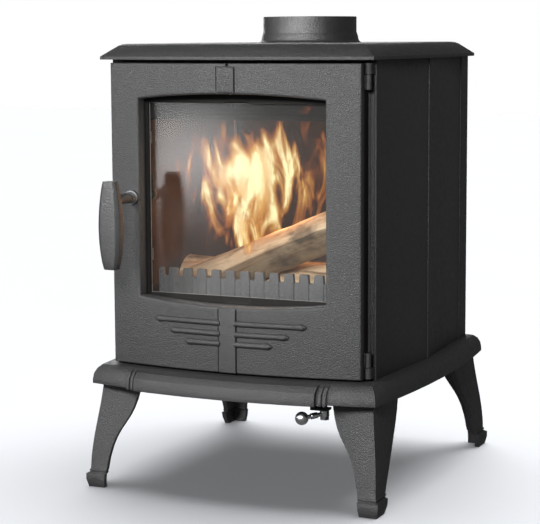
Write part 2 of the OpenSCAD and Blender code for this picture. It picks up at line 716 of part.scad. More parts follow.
bracket_z = rim_z - 15;
lever_z = bracket_z - 5.5;
module air_bracket() color(dark_iron) placed() difference() {
  translate([spindle_x, spindle_y, 0]) union() {
    block([-19, -10, bracket_z], [8, 7, bracket_z + 3.5]);
    block([-19, -10, bracket_z], [-10, -6.5, floor_z - base_wall]);
    block([-24, -10, floor_z - base_wall - 3], [-10, 2.5, floor_z - base_wall]);
  }
  translate([spindle_x, spindle_y, bracket_z - 1]) rod(spindle_r + run_clear, 6);
  translate([bracket_screw_x, bracket_screw_y, floor_z - base_wall - 4]) rod(bracket_screw_r + 0.2, 5);
}
module air_bracket_screw() color(steel) placed() translate([bracket_screw_x, bracket_screw_y, 0]) {
  translate([0, 0, floor_z - base_wall - 6.5]) cylinder(r = 4.3, h = 3.5, $fn = 6);
  translate([0, 0, floor_z - base_wall - 4]) rod(bracket_screw_r, base_wall + 2);
}
module air_spindle() color(steel) placed() translate([spindle_x, spindle_y, 0]) {
  translate([0, 0, lever_z - 9]) cylinder(r = 7, h = 4.8, $fn = 6);
  translate([0, 0, lever_z - 5]) rod(spindle_r, floor_z - base_wall - 0.6 - lever_z + 5);
}
knob_dx = -23;
knob_dy = -31;
knob_dz = -3;
lever_turn = atan2(knob_dy, knob_dx);
lever_dip = 90 + atan2(-knob_dz, norm([knob_dx, knob_dy]));
lever_l = norm([knob_dx, knob_dy, knob_dz]);
lever_r = 3.2;
module along_lever() rotate([0, 0, lever_turn]) rotate([0, lever_dip, 0]) children();
module air_lever() color(chrome) placed() translate([spindle_x, spindle_y, lever_z]) difference() {
  union() {
    translate([0, 0, -4]) rod(spindle_r + 3, 9.2);
    along_lever() {
      rod(lever_r, lever_l - 2);
      translate([0, 0, lever_l * 0.34]) rod(4.6, lever_l * 0.26);
    }
  }
  translate([0, 0, -6]) rod(spindle_r, 14);
}
module air_knob() color(chrome) placed() translate([spindle_x, spindle_y, lever_z]) difference() {
  along_lever() translate([0, 0, lever_l]) sphere(r = knob_r, $fn = round_fn);
  along_lever() rod(lever_r, lever_l - 2);
}
// Shutter that swings across the air inlet
damper_z = floor_z - base_wall - 3.6;
damper_half = asin((air_inlet_r + 2.5) / inlet_reach) + 1;
module air_damper() color(dark_iron) placed()
  translate([spindle_x, spindle_y, damper_z]) linear_extrude(3) difference() {
  union() {
    circle(r = spindle_r + 4, $fn = round_fn);
    intersection() {
      circle(r = inlet_reach + air_inlet_r + 2.5, $fn = 240);
      rotate(inlet_turn) polygon([[0, 0], [90, -90 * tan(damper_half)], [90, 90 * tan(damper_half)]]);
    }
  }
  circle(r = spindle_r, $fn = round_fn);
}

// ---- firebox ----

box_half_w = body_half_w - wall - 4;
box_front = frame_back + 24;
box_back = body_back - wall - 6;
grate_half_w = 104;
grate_front = -92;
grate_back = 96;
grate_t = 5;

module fire_bed() color(dark_iron) placed() difference() {
  block([-box_half_w, box_front, bed_z], [box_half_w, box_back, bed_top]);
  block([-grate_half_w, grate_front, bed_top - grate_t], [grate_half_w, grate_back, bed_top + 1]);
  block([-grate_half_w + 6, grate_front + 6, bed_z - 1], [grate_half_w - 6, grate_back - 6, bed_top]);
  at_tie_rods() translate([0, 0, bed_z - 1]) rod(tie_r + 2, bed_t + 2);
}
module fire_grate() color(dark_iron) placed() difference() {
  block([-grate_half_w + 0.8, grate_front + 0.8, bed_top - grate_t],
    [grate_half_w - 0.8, grate_back - 0.8, bed_top]);
  for (x = [-84:24:84], y = [-36, 42]) block([x - 5, y - 32, bed_z - 1], [x + 5, y + 32, bed_top + 1]);
}
// Two upright plates carry the fire bed
module bed_supports() color(dark_iron) placed() for (sx = [-1, 1])
  translate([sx * (box_half_w - 24), 0, 0]) block([-4, box_front + 6, floor_z], [4, box_back - 20, bed_z]);

fence_half_w = min(box_half_w - liner_t - 2, 6.5 * tooth_pitch);
fence_front = box_front + 1;
notch_half = 4;
flute_depth = 1.6;
// Upright plate with a row of notches, and a shallow flute down from each notch
module log_fence() color(dark_iron) placed() difference() {
  block([-fence_half_w, fence_front, bed_top], [fence_half_w, fence_front + 8, bed_top + fence_h]);
  for (i = [-6:6]) translate([i * tooth_pitch, 0, bed_top + fence_h - tooth_h]) {
    translate([0, fence_front + 11, 0]) rotate([90, 0, 0]) linear_extrude(14)
      polygon([[-notch_half, 0], [notch_half, 0],
        [notch_half + 1.6, tooth_h + 1], [-notch_half - 1.6, tooth_h + 1]]);
    block([-notch_half, fence_front - 1, -fence_h + tooth_h + 14],
      [notch_half, fence_front + flute_depth, 1]);
  }
}

liner_h = mouth_high - bed_top - 70;
module side_liner() block([box_half_w - liner_t, box_front + 12, bed_top],
  [box_half_w, skirt_back + tie_place[1] - tie_r - 4, bed_top + liner_h]);
module liner_left() color(dark_iron) placed() mirror([1, 0, 0]) side_liner();
module liner_right() color(dark_iron) placed() side_liner();
module liner_rear() color(dark_iron) placed()
  block([-box_half_w + 20, box_back - liner_t, bed_top], [box_half_w - 20, box_back, bed_top + liner_h + 20]);

// Plate that lies on the side liners and turns the smoke forward
module baffle() color(dark_iron) placed() difference() {
  block([-box_half_w + 1, box_front + 80, bed_top + liner_h],
    [box_half_w - 1, box_back - liner_t - 0.5, bed_top + liner_h + 8]);
  at_tie_rods() translate([0, 0, bed_top + liner_h - 1]) rod(tie_r + 1.5, 10);
}
// Deflector that sends air down behind the glass
module air_wash_plate() color(dark_iron) placed()
  translate([-mouth_half_w, frame_back, mouth_high + 4]) rotate([90, 0, 90]) linear_extrude(2 * mouth_half_w)
    polygon([[0, 0], [3, 0], [38, -12], [38, -9], [3, 3.2], [3, 14], [0, 14]]);

pan_half_w = 118;
pan_front = box_front + 10;
pan_back = 112;
pan_z = mouth_low + 2;
pan_h = 32;
pan_wall = 1.5;
module ash_pan_rails() color(dark_iron) placed() for (sx = [-1, 1])
  translate([sx * (pan_half_w - 14), 0, 0]) block([-5, pan_front + 4, floor_z], [5, pan_back, pan_z]);
module ash_pan() color(steel) placed() difference() {
  block([-pan_half_w, pan_front, pan_z], [pan_half_w, pan_back, pan_z + pan_h]);
  block([-pan_half_w + pan_wall, pan_front + pan_wall, pan_z + pan_wall],
    [pan_half_w - pan_wall, pan_back - pan_wall, pan_z + pan_h + 1]);
}
// Flat loop on the pan's front
module ash_pan_handle() color(steel) placed() translate([0, 0, pan_z + pan_h / 2]) difference() {
  block([-32, pan_front - 16, -2], [32, pan_front, 2]);
  block([-24, pan_front - 11, -3], [24, pan_front - 2, 3]);
}

base_plate();
leg_front_left();
leg_front_right();
leg_rear_left();
leg_rear_right();
leg_bolts();
side_panel_left();
side_panel_right();
back_panel();
front_frame();
top_plate();
tie_rods();
tie_rod_nuts();
flue_collar();
flue_collar_bolts();
door();
door_glass();
glass_gasket();
glass_clips();
glass_clip_screws();
door_seal_rope();
hinge_pin_upper();
hinge_pin_lower();
handle_shaft();
handle_grip();
handle_washer();
latch_cam();
latch_nut();
latch_keeper();
latch_keeper_screws();
air_bracket();
air_bracket_screw();
air_spindle();
air_lever();
air_knob();
air_damper();
fire_bed();
fire_grate();
bed_supports();
log_fence();
liner_left();
liner_right();
liner_rear();
baffle();
air_wash_plate();
ash_pan_rails();
ash_pan();
ash_pan_handle();
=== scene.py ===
import json
import math

import bmesh
import bpy
from mathutils import Matrix, Vector


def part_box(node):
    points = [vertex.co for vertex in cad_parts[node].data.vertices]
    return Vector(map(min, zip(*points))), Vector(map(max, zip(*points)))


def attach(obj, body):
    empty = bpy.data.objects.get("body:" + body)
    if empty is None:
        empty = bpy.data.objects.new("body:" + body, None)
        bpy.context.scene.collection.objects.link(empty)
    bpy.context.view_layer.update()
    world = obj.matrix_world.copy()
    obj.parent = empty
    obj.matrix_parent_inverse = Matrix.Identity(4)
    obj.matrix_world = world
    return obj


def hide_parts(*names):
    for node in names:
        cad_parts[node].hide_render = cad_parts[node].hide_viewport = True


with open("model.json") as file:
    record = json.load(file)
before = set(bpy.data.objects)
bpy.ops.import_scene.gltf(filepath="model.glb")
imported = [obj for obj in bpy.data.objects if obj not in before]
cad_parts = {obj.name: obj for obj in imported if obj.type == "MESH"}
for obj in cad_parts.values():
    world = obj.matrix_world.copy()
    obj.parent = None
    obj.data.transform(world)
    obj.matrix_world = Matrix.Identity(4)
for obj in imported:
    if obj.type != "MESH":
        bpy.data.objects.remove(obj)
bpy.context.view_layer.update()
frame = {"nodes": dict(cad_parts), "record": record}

MM = 0.001


# ---------------------------------------------------------------- camera

CAMERA_PLACE = (1.11427, -2.52364, 0.69288)
CAMERA_TURN = 24.42
CAMERA_DIP = 7.39
CAMERA_ROLL = -0.3
LENS = 116.6


def set_camera():
    data = bpy.data.cameras.new("stove_camera")
    data.lens = LENS
    data.sensor_width = 36.0
    data.clip_end = 60.0
    camera = bpy.data.objects.new("stove_camera", data)
    bpy.context.scene.collection.objects.link(camera)
    camera.location = CAMERA_PLACE
    turn = (
        Matrix.Rotation(math.radians(CAMERA_TURN), 4, "Z")
        @ Matrix.Rotation(math.radians(90.0 - CAMERA_DIP), 4, "X")
        @ Matrix.Rotation(math.radians(CAMERA_ROLL), 4, "Z")
    )
    camera.rotation_euler = turn.to_euler()
    bpy.context.scene.camera = camera


# ---------------------------------------------------------------- finishes

def node_material(name, colour, roughness, metallic=0.0, specular=0.5):
    material = bpy.data.materials.new(name)
    material.use_nodes = True
    shader = material.node_tree.nodes["Principled BSDF"]
    shader.inputs["Base Color"].default_value = (*colour, 1.0)
    shader.inputs["Roughness"].default_value = roughness
    shader.inputs["Metallic"].default_value = metallic
    shader.inputs["Specular IOR Level"].default_value = specular
    place = material.node_tree.nodes.new("ShaderNodeTexCoord")
    return material, shader, place.outputs["Object"]


def noise(material, place, scale, detail=3.0, rough=0.55, stretch=None):
    tree = material.node_tree
    texture = tree.nodes.new("ShaderNodeTexNoise")
    texture.inputs["Scale"].default_value = scale
    texture.inputs["Detail"].default_value = detail
    texture.inputs["Roughness"].default_value = rough
    if stretch:
        mapping = tree.nodes.new("ShaderNodeMapping")
        mapping.inputs["Scale"].default_value = stretch
        tree.links.new(place, mapping.inputs["Vector"])
        place = mapping.outputs["Vector"]
    tree.links.new(place, texture.inputs["Vector"])
    return texture.outputs["Fac"]


def spread(material, value, low, high, new_low, new_high):
    tree = material.node_tree
    node = tree.nodes.new("ShaderNodeMapRange")
    node.inputs["From Min"].default_value = low
    node.inputs["From Max"].default_value = high
    node.inputs["To Min"].default_value = new_low
    node.inputs["To Max"].default_value = new_high
    tree.links.new(value, node.inputs["Value"])
    return node.outputs["Result"]


def blend_colours(material, fac, colour_a, colour_b):
    """Each colour is an RGB triple or a socket."""
    tree = material.node_tree
    node = tree.nodes.new("ShaderNodeMix")
    node.data_type = "RGBA"
    tree.links.new(fac, node.inputs["Factor"])
    for socket, colour in ((node.inputs[6], colour_a), (node.inputs[7], colour_b)):
        if isinstance(colour, tuple):
            socket.default_value = (*colour, 1.0)
        else:
            tree.links.new(colour, socket)
    return node.outputs[2]


def add_bump(material, shader, heights):
    """heights: (socket, strength, distance in metres), from the coarsest to the finest."""
    tree = material.node_tree
    last = None
    for height, strength, distance in heights:
        node = tree.nodes.new("ShaderNodeBump")
        node.inputs["Strength"].default_value = strength
        node.inputs["Distance"].default_value = distance
        tree.links.new(height, node.inputs["Height"])
        if last:
            tree.links.new(last, node.inputs["Normal"])
        last = node.outputs["Normal"]
    tree.links.new(last, shader.inputs["Normal"])


def paint_recess_shade(material, shader, place, start):
    """Paints shade into a recess: the paint passes into a near-black diffuse over a few millimetres, from
    start backward into the stove.
    """
    tree = material.node_tree
    # painted shade: a near-black diffuse that stands in for the shade deep in the recess
    recess_shade_bsdf = tree.nodes.new("ShaderNodeBsdfDiffuse")
    recess_shade_bsdf.inputs["Color"].default_value = (0.012, 0.011, 0.010, 1.0)
    split = tree.nodes.new("ShaderNodeSeparateXYZ")
    tree.links.new(place, split.inputs["Vector"])
    reach = spread(material, split.outputs["Y"], start - 6 * MM, start + 2 * MM, 0.0, 0.88)
    recess_shaded = tree.nodes.new("ShaderNodeMixShader")
    tree.links.new(reach, recess_shaded.inputs["Fac"])
    tree.links.new(shader.outputs["BSDF"], recess_shaded.inputs[1])
    tree.links.new(recess_shade_bsdf.outputs["BSDF"], recess_shaded.inputs[2])
    tree.links.new(recess_shaded.outputs["Shader"], tree.nodes["Material Output"].inputs["Surface"])


def cast_iron(name, dark, light, roughness, grain=1.0, specular=0.9, shaded_behind=None):
    """Painted sand-cast iron: fine grain, slow unevenness and a few pale specks."""
    material, shader, place = node_material(name, dark, roughness, specular=specular)
    tree = material.node_tree
    fine = noise(material, place, 590.0, 2.0, 0.7)
    middle = noise(material, place, 120.0, 4.0, 0.6)
    slow = noise(material, place, 13.0, 3.0, 0.5)
    tone = blend_colours(material, spread(material, slow, 0.3, 0.7, 0.0, 1.0), dark, light)
    mottle = spread(material, middle, 0.3, 0.72, 0.0, 1.0)
    darker = tuple(0.72 * c for c in dark)
    tone = blend_colours(material, spread(material, mottle, 0.0, 1.0, 0.35, 0.0), tone, darker)
    speck = spread(material, fine, 0.52, 0.72, 0.0, 0.75)
    tone = blend_colours(material, speck, tone, tuple(min(1.0, 2.6 * c) for c in light))
    tree.links.new(tone, shader.inputs["Base Color"])
    tree.links.new(
        spread(material, middle, 0.3, 0.7, roughness - 0.06, roughness + 0.09), shader.inputs["Roughness"]
    )
    # painted shade: past the given depth the paint darkens into the recess
    if shaded_behind is not None:
        paint_recess_shade(material, shader, place, shaded_behind)
    add_bump(material, shader, [
        (slow, 0.15, 0.0010 * grain),
        (middle, 0.12 * grain, 0.0005),
        (fine, 1.0 * grain, 0.0015),
    ])
    return material


def brushed_metal(name, colour, roughness, scale, stretch, depth):
    """Bare metal with drawn streaks and slow dull stains."""
    material, shader, place = node_material(name, colour, roughness, metallic=1.0)
    tree = material.node_tree
    streak = noise(material, place, scale, 3.0, 0.6, stretch)
    stain = noise(material, place, 40.0, 4.0, 0.6)
    dull = tuple(0.7 * c for c in colour)
    tone = blend_colours(material, spread(material, stain, 0.35, 0.7, 0.0, 0.7), colour, dull)
    tree.links.new(tone, shader.inputs["Base Color"])
    tree.links.new(
        spread(material, streak, 0.3, 0.7, max(0.02, roughness - 0.06), roughness + 0.08),
        shader.inputs["Roughness"],
    )
    add_bump(material, shader, [(streak, 0.4, depth)])
    return material


def fire_plate(name, iron, ash):
    """Bare fire-blackened plate, with pale ash dusted in slow patches and fine sooty specks."""
    material, shader, place = node_material(name, iron, 0.85, specular=0.25)
    tree = material.node_tree
    patch = noise(material, place, 9.0, 5.0, 0.62)
    fine = noise(material, place, 300.0, 3.0, 0.6)
    tone = blend_colours(material, spread(material, patch, 0.42, 0.68, 0.0, 0.8), iron, ash)
    tone = blend_colours(
        material, spread(material, fine, 0.35, 0.7, 0.3, 0.0), tone, tuple(0.5 * c for c in iron)
    )
    tree.links.new(tone, shader.inputs["Base Color"])
    tree.links.new(spread(material, patch, 0.3, 0.7, 0.75, 0.95), shader.inputs["Roughness"])
    add_bump(material, shader, [(patch, 0.3, 0.0015), (fine, 0.5, 0.0006)])
    return material


def woven_rope(name, colour, pitch):
    """Braided glass-fibre rope and tape: crossing yarns a few millimetres apart."""
    material, shader, place = node_material(name, colour, 0.9, specular=0.2)
    tree = material.node_tree
    waves = []
    for turn in (0.7, -0.7):
        mapping = tree.nodes.new("ShaderNodeMapping")
        mapping.inputs["Rotation"].default_value = (turn, turn, turn)
        tree.links.new(place, mapping.inputs["Vector"])
        wave = tree.nodes.new("ShaderNodeTexWave")
        wave.inputs["Scale"].default_value = pitch
        wave.inputs["Distortion"].default_value = 0.6
        tree.links.new(mapping.outputs["Vector"], wave.inputs["Vector"])
        waves.append(wave.outputs["Fac"])
    tone = blend_colours(
        material, spread(material, waves[0], 0.0, 1.0, 0.0, 0.6), colour, tuple(0.45 * c for c in colour)
    )
    tree.links.new(tone, shader.inputs["Base Color"])
    add_bump(material, shader, [(waves[0], 0.6, 0.0008), (waves[1], 0.6, 0.0008)])
    return material


def clear_glass(name):
    """Ceramic fire glass: clear, a little hazed, with a thin pale film that thickens in slow patches."""
    material, film, place = node_material(name, (0.42, 0.40, 0.38), 0.9, specular=0.1)
    tree = material.node_tree
    clear = tree.nodes.new("ShaderNodeBsdfTransparent")
    clear.inputs["Color"].default_value = (0.90, 0.91, 0.91, 1.0)
    mirror = tree.nodes.new("ShaderNodeBsdfGlossy")
    mirror.inputs["Color"].default_value = (0.9, 0.9, 0.9, 1.0)
    mirror.inputs["Roughness"].default_value = 0.15
    facing = tree.nodes.new("ShaderNodeFresnel")
    facing.inputs["IOR"].default_value = 1.45
    patch = noise(material, place, 6.0, 4.0, 0.55)
    hazed = tree.nodes.new("ShaderNodeMixShader")
    tree.links.new(spread(material, patch, 0.35, 0.75, 0.0, 0.035), hazed.inputs["Fac"])
    tree.links.new(clear.outputs["BSDF"], hazed.inputs[1])
    tree.links.new(film.outputs["BSDF"], hazed.inputs[2])
    pane = tree.nodes.new("ShaderNodeMixShader")
    tree.links.new(facing.outputs["Fac"], pane.inputs["Fac"])
    tree.links.new(hazed.outputs["Shader"], pane.inputs[1])
    tree.links.new(mirror.outputs["BSDF"], pane.inputs[2])
    tree.links.new(pane.outputs["Shader"], tree.nodes["Material Output"].inputs["Surface"])
    return material


PAINT_DARK = (0.013, 0.0133, 0.014)
PAINT_LIGHT = (0.018, 0.0184, 0.019)
PAINT_SHEEN = 0.49
INNER_DARK = (0.02, 0.02, 0.021)
INNER_LIGHT = (0.026, 0.026, 0.027)
FINISH = {
    "cast_iron_painted": cast_iron("cast_iron_painted", PAINT_DARK, PAINT_LIGHT, PAINT_SHEEN),
    "collar_iron": cast_iron("collar_iron", PAINT_DARK, PAINT_LIGHT, 0.38, grain=0.5),
    "handle_iron": cast_iron("handle_iron", PAINT_DARK, PAINT_LIGHT, 0.45, grain=0.7),
    "cast_iron_inner": cast_iron("cast_iron_inner", INNER_DARK, INNER_LIGHT, 0.62, specular=0.4),
    "liner_iron": fire_plate("liner_iron", (0.050, 0.031, 0.027), (0.15, 0.105, 0.09)),
    "zinc_steel": brushed_metal(
        "zinc_steel", (0.35, 0.35, 0.36), 0.42, scale=90.0, stretch=(1.0, 1.0, 6.0), depth=0.3 * MM
    ),
    "ash_pan_steel": brushed_metal(
        "ash_pan_steel", (0.16, 0.165, 0.17), 0.5, scale=60.0, stretch=(1.0, 8.0, 1.0), depth=0.3 * MM
    ),
    "chrome": brushed_metal(
        "chrome", (0.86, 0.87, 0.89), 0.24, scale=120.0, stretch=(1.0, 1.0, 1.0), depth=0.08 * MM
    ),
    "fire_glass": clear_glass("fire_glass"),
    "flat_gasket": woven_rope("flat_gasket", (0.30, 0.29, 0.27), 330.0),
    "seal_rope": woven_rope("seal_rope", (0.24, 0.235, 0.23), 260.0),
}


def dress(piece, slot):
    piece.data.materials.clear()
    piece.data.materials.append(FINISH[slot])


# ---------------------------------------------------------------- modelling helpers

TINY = 0.00002


def nothing_selected():
    if bpy.context.mode != "OBJECT":
        bpy.ops.object.mode_set(mode="OBJECT")
    bpy.ops.object.select_all(action="DESELECT")


def only(piece):
    nothing_selected()
    bpy.context.view_layer.objects.active = piece
    piece.select_set(True)


def shape(piece):
    """Opens a piece in edit mode."""
    only(piece)
    bpy.ops.object.mode_set(mode="EDIT")


def settle(name):
    """The primitive just added, named, with its place in its mesh, open in edit mode."""
    piece = bpy.context.object
    piece.name = name
    piece.data.name = name
    only(piece)
    bpy.ops.object.transform_apply(location=True, rotation=True, scale=True)
    shape(piece)
    return piece


def parts_of(piece, kind):
    mesh = bmesh.from_edit_mesh(piece.data)
    return mesh, {"VERT": mesh.verts, "EDGE": mesh.edges, "FACE": mesh.faces}[kind]


def pick(piece, kind, test):
    """Selects verts, edges or faces by place: test(part, middle)."""
    mesh, parts = parts_of(piece, kind)
    mesh.normal_update()
    found = []
    for part in parts:
        if kind == "VERT":
            middle = part.co
        elif kind == "EDGE":
            middle = (part.verts[0].co + part.verts[1].co) / 2
        else:
            middle = part.calc_center_median()
        if test(part, middle):
            found.append(part.index)
    bpy.ops.mesh.select_mode(type=kind)
    bpy.ops.mesh.select_all(action="DESELECT")
    mesh, parts = parts_of(piece, kind)
    parts.ensure_lookup_table()
    for index in found:
        parts[index].select_set(True)
    mesh.select_flush_mode()
    bmesh.update_edit_mesh(piece.data)


def push(x=0.0, y=0.0, z=0.0):
    """Moves what is selected."""
    bpy.ops.transform.translate(value=(x, y, z))


def flatten(axis, at):
    """Brings what is selected onto one plane."""
    value = [1.0, 1.0, 1.0]
    centre = [0.0, 0.0, 0.0]
    value[axis] = 0.0
    centre[axis] = at
    bpy.ops.transform.resize(value=value, center_override=centre)


def grow(x, y, z, centre):
    """Scales what is selected about a centre."""
    bpy.ops.transform.resize(value=(x, y, z), center_override=centre)


def draw_on():
    """Extrudes what is selected, in place."""
    bpy.ops.mesh.extrude_region()


def cut_across(axis, places):
    """Cuts the whole piece across one axis at each place."""
    facing = [0.0, 0.0, 0.0]
    facing[axis] = 1.0
    for place in places:
        here = [0.0, 0.0, 0.0]
        here[axis] = place
        bpy.ops.mesh.select_all(action="SELECT")
        bpy.ops.mesh.bisect(plane_co=here, plane_no=facing)


def close_up(piece):
    """Joins doubles and turns every face outward."""
    bpy.ops.mesh.select_all(action="SELECT")
    bpy.ops.mesh.remove_doubles(threshold=TINY / 2)
    bpy.ops.mesh.normals_make_consistent(inside=False)
    bpy.ops.object.mode_set(mode="OBJECT")


def join(pieces, name):
    only(pieces[0])
    for piece in pieces[1:]:
        piece.select_set(True)
    bpy.ops.object.join()
    pieces[0].name = name
    return pieces[0]


def use_modifier(piece, kind, **settings):
    only(piece)
    modifier = piece.modifiers.new(kind.lower(), kind)
    for key, value in settings.items():
        setattr(modifier, key, value)
    bpy.ops.object.modifier_apply(modifier=modifier.name)


def ease_edges(piece, width, degrees=30.0, segments=2):
    use_modifier(
        piece, "BEVEL", width=width, segments=segments, limit_method="ANGLE",
        angle_limit=math.radians(degrees), miter_outer="MITER_ARC", use_clamp_overlap=True,
    )


def smooth(piece, degrees=32.0):
    only(piece)
    bpy.ops.object.shade_smooth_by_angle(angle=math.radians(degrees))


def add_piece(piece, body, slot, *stands_for):
    nothing_selected()
    dress(piece, slot)
    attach(piece, body)
    if stands_for:
        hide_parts(*stands_for)


def eased_copy(node, width, degrees=28.0, segments=2, flat=0.6):
    """A copy of a CAD node with its loose triangles joined into faces and its sharp edges eased."""
    source = frame["nodes"][node]
    piece = bpy.data.objects.new(node + "_eased", source.data.copy())
    bpy.context.scene.collection.objects.link(piece)
    only(piece)
    bpy.ops.mesh.customdata_custom_splitnormals_clear()
    shape(piece)
    bpy.ops.mesh.select_all(action="SELECT")
    bpy.ops.mesh.remove_doubles(threshold=TINY)
    bpy.ops.mesh.dissolve_limited(angle_limit=math.radians(flat), delimit={"NORMAL"})
    bpy.ops.object.mode_set(mode="OBJECT")
    ease_edges(piece, width, degrees, segments)
    smooth(piece)
    return piece


def turned(name, centre, steps, axis="Z", corners=96):
    """A disc drawn on through steps of (radius, distance along the axis)."""
    nothing_selected()
    turn = {"Z": (0.0, 0.0, 0.0), "Y": (math.radians(-90.0), 0.0, 0.0)}[axis]
    way = {"Z": Vector((0.0, 0.0, 1.0)), "Y": Vector((0.0, 1.0, 0.0))}[axis]
    radius, along = steps[0]
    bpy.ops.mesh.primitive_circle_add(
        vertices=corners, radius=radius, fill_type="NGON",
        location=Vector(centre) + way * along, rotation=turn,
    )
    piece = settle(name)
    bpy.ops.mesh.select_mode(type="EDGE")
    bpy.ops.mesh.select_all(action="SELECT")
    for new_radius, new_along in steps[1:]:
        draw_on()
        share = new_radius / radius
        here = Vector(centre) + way * along
        keep = (share, share, 1.0) if axis == "Z" else (share, 1.0, share)
        grow(*keep, here)
        push(*(way * (new_along - along)))
        radius, along = new_radius, new_along
    close_up(piece)
    return piece


# ---------------------------------------------------------------- the door casting

BOW = 22 * MM
ARCH = 8.5 * MM
STRAP_HALF = 13.85 * MM
STRAP_PROUD = 1.6 * MM
GROOVE_DEEP = 1.7 * MM
NOTCH_DEEP = 6.5 * MM
NOTCH_HIGH = 4.5 * MM
DOOR_SIDE = 25.9 * MM
SEAL_CHANNEL = 3.6 * MM
OUTER_ROUNDING = 2.4 * MM
WINDOW_ROUNDING = 3.8 * MM
RIBS = ((75 * MM, 111 * MM), (59 * MM, 84 * MM), (44 * MM, 58 * MM))
RIB_RADIUS = 4.3 * MM
RIB_TIP = ((1.12, 5.0 * MM), (1.04, 4.0 * MM), (0.62, 4.5 * MM), (0.3, 2.5 * MM))
RIB_TIP_LENGTH = 14 * MM
KNUCKLE_RADIUS = 5.0 * MM
KNUCKLE_HIGH = 22 * MM
KNUCKLE_EDGE = 0.8 * MM
KNUCKLE_UP = 17.4 * MM
KNUCKLE_DOWN = 38.1 * MM


class DoorPlaces:
    """Where the door's edges and window are, taken from the frame."""

    def __init__(self):
        low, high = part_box("door")
        glass_low, glass_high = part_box("door_glass")
        self.half = -low.x
        self.bottom, self.top = low.z, high.z
        self.back = high.y
        self.edge = high.y - DOOR_SIDE
        self.window_half = glass_high.x - 1 * MM
        self.window_low = glass_low.z + 2.5 * MM
        self.window_high = glass_high.z + 1.5 * MM
        self.flange = glass_low.y - 5.5 * MM
        self.hinge_x = high.x - 5.0 * MM

    def bow(self, x):
        return -BOW * (1.0 - (x / self.half) ** 2)

    def relief(self, x, z):
        """Strap, its fine side grooves and the notch over it; towards +Y is into the door."""
        across = abs(x)
        over = self.top - z
        near_window = self.window_low - ARCH - 5 * MM < z < self.window_high + ARCH + 5 * MM
        if across > 16.0 * MM or near_window:
            return 0.0
        if over < NOTCH_HIGH:
            return NOTCH_DEEP if TINY < x < 13.9 * MM else 0.0
        if across > 14.1 * MM:
            return GROOVE_DEEP
        if over < 5.6 * MM:
            return GROOVE_DEEP
        if across > 13.4 * MM or over < 6.0 * MM:
            return 0.0
        return -STRAP_PROUD


def even(start, end, count):
    return [start + (end - start) * i / count for i in range(count + 1)]


def door_rib(places, side, height, reach):
    """A raised rib: round, swelling a little and then drawn to a tip at its outer end."""
    start = STRAP_HALF - 2 * MM
    length = reach - RIB_TIP_LENGTH
    end = start + length
    foot = (0.0, places.edge - 0.2 * MM, places.bottom + height)
    nothing_selected()
    bpy.ops.mesh.primitive_cylinder_add(
        vertices=20, radius=RIB_RADIUS, depth=length, end_fill_type="NGON",
        location=(start + length / 2, foot[1], foot[2]), rotation=(0.0, math.radians(90.0), 0.0),
    )
    rib = settle("door_rib")
    pick(rib, "FACE", lambda face, middle: middle.x > end - TINY)
    for share, step in RIB_TIP:
        draw_on()
        grow(1.0, share, share, foot)
        push(x=step)
    cut_across(0, even(start, end, 8)[1:-1])
    columns(rib, places.bow)
    if side < 0:
        bpy.ops.mesh.select_all(action="SELECT")
        grow(-1.0, 1.0, 1.0, (0.0, 0.0, 0.0))
    close_up(rib)
    return rib


def columns(piece, deep):
    """Moves each column of vertices that share an x by deep(x) along Y."""
    mesh = bmesh.from_edit_mesh(piece.data)
    places = sorted({round(vert.co.x, 6) for vert in mesh.verts})
    for x in places:
        pick(piece, "VERT", lambda vert, middle: abs(vert.co.x - x) < TINY / 2)
        push(y=deep(x))


